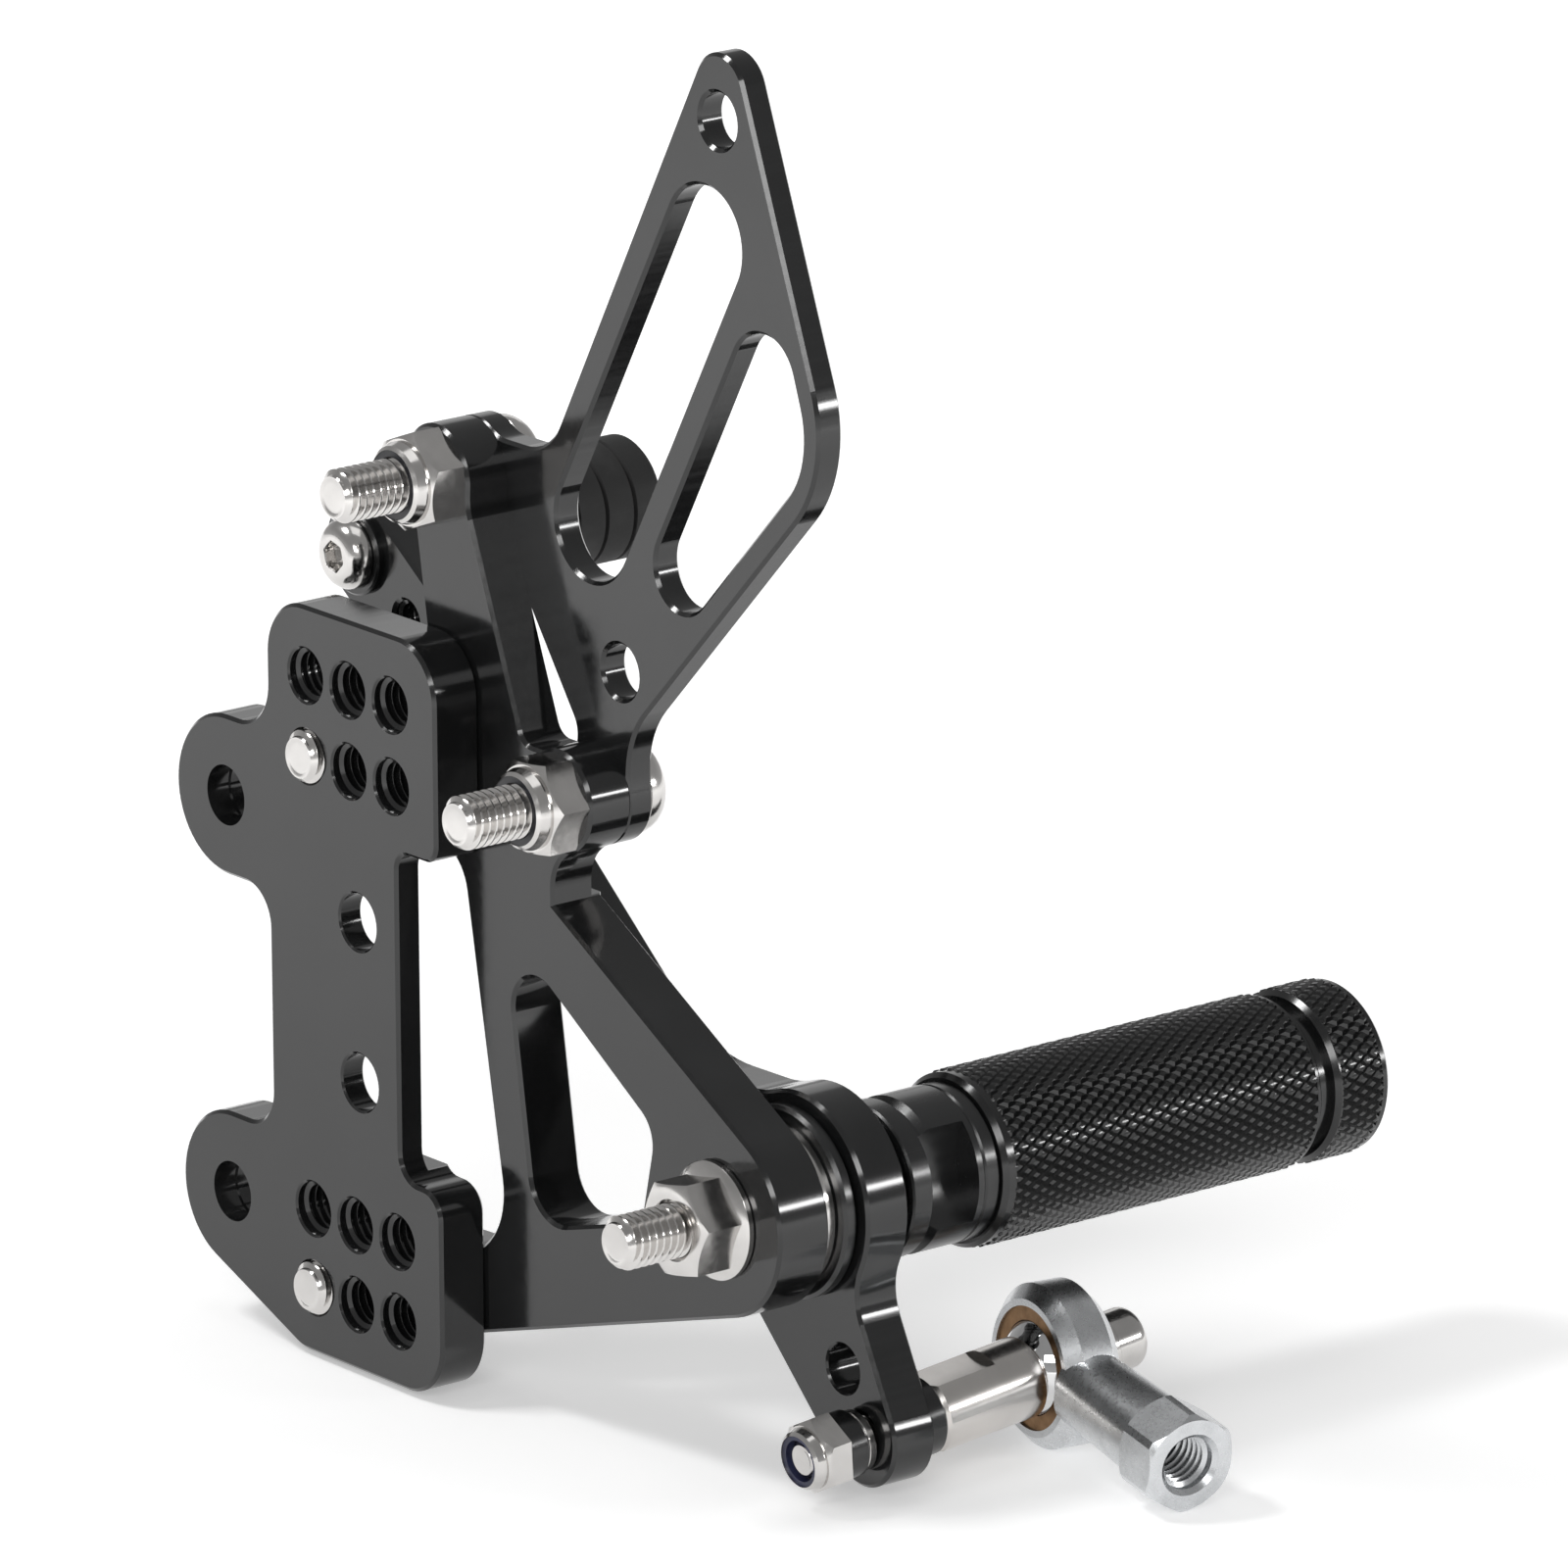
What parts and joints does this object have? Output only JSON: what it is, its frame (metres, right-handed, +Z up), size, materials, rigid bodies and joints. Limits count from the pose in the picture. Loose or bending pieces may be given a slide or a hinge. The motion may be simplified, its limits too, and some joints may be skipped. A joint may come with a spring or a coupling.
{
  "type": "motorcycle rear set footrest",
  "caption": "Right-hand motorcycle rear set: adapter and hanger plates, heel guard, knurled foot peg and a pivoting brake pedal with toe peg and rod end.",
  "frame": {"origin": "midway between the two frame bolt holes, on the inboard face of the adapter plate", "axes": "+X towards the rear of the motorcycle, +Y outboard along the foot peg, +Z up"},
  "size_m": [0.166, 0.1319, 0.2059],
  "materials": {
    "black_aluminium": "gloss black anodised",
    "black_peg": "satin black anodised, knurled",
    "stainless": "bright stainless",
    "nylon": "dark blue nylon",
    "black_steel": "black oxide, oiled",
    "rubber": "matt moulded rubber",
    "zinc": "bright zinc plate",
    "ball_steel": "polished",
    "bronze": "sintered bronze"
  },
  "bodies": {
    "carrier": {"adapter_plate": "black_aluminium", "hanger_plate": "black_aluminium", "adapter_bolts": "stainless", "heel_guard": "black_aluminium", "guard_bolts": "stainless", "guard_nuts": "stainless", "guard_nut_inserts": "nylon", "peg_stud": "stainless", "peg_nut": "stainless", "thrust_washer": "stainless", "pivot_bush": "black_steel", "hub_spacer": "black_steel", "peg_hub": "black_aluminium", "peg_sleeve": "black_peg", "peg_cap": "black_peg"},
    "pedal": {"brake_pedal": "black_aluminium", "toe_screw": "stainless", "toe_washer": "black_steel", "toe_core": "black_aluminium", "toe_rubber": "rubber", "link_bolt": "stainless", "link_nut": "stainless", "link_nut_insert": "nylon", "link_collar": "black_steel", "link_lock_washer": "stainless", "link_washer": "black_steel", "link_standoff": "stainless"},
    "ball": {"rod_end_ball": "ball_steel"},
    "rod_end": {"rod_end_liner": "bronze", "rod_end_housing": "zinc"}
  },
  "joints": [
    {"name": "pedal_pivot", "type": "hinge", "parent": "carrier", "child": "pedal", "pos_m": [0.1035, 0.02625, -0.01], "axis": [0, -1, 0], "range_deg": [-5, 12]},
    {"name": "rod_end_swivel", "type": "hinge", "parent": "pedal", "child": "ball", "pos_m": [0.11738, 0.05805, -0.03841], "axis": [0, 0.9954, 0.0958], "range_deg": [-35, 35]},
    {"name": "rod_end_tilt", "type": "hinge", "parent": "ball", "child": "rod_end", "pos_m": [0.11738, 0.05805, -0.03841], "axis": [0.1357, 0, 0.9907], "range_deg": [-7, 18]}
  ]
}
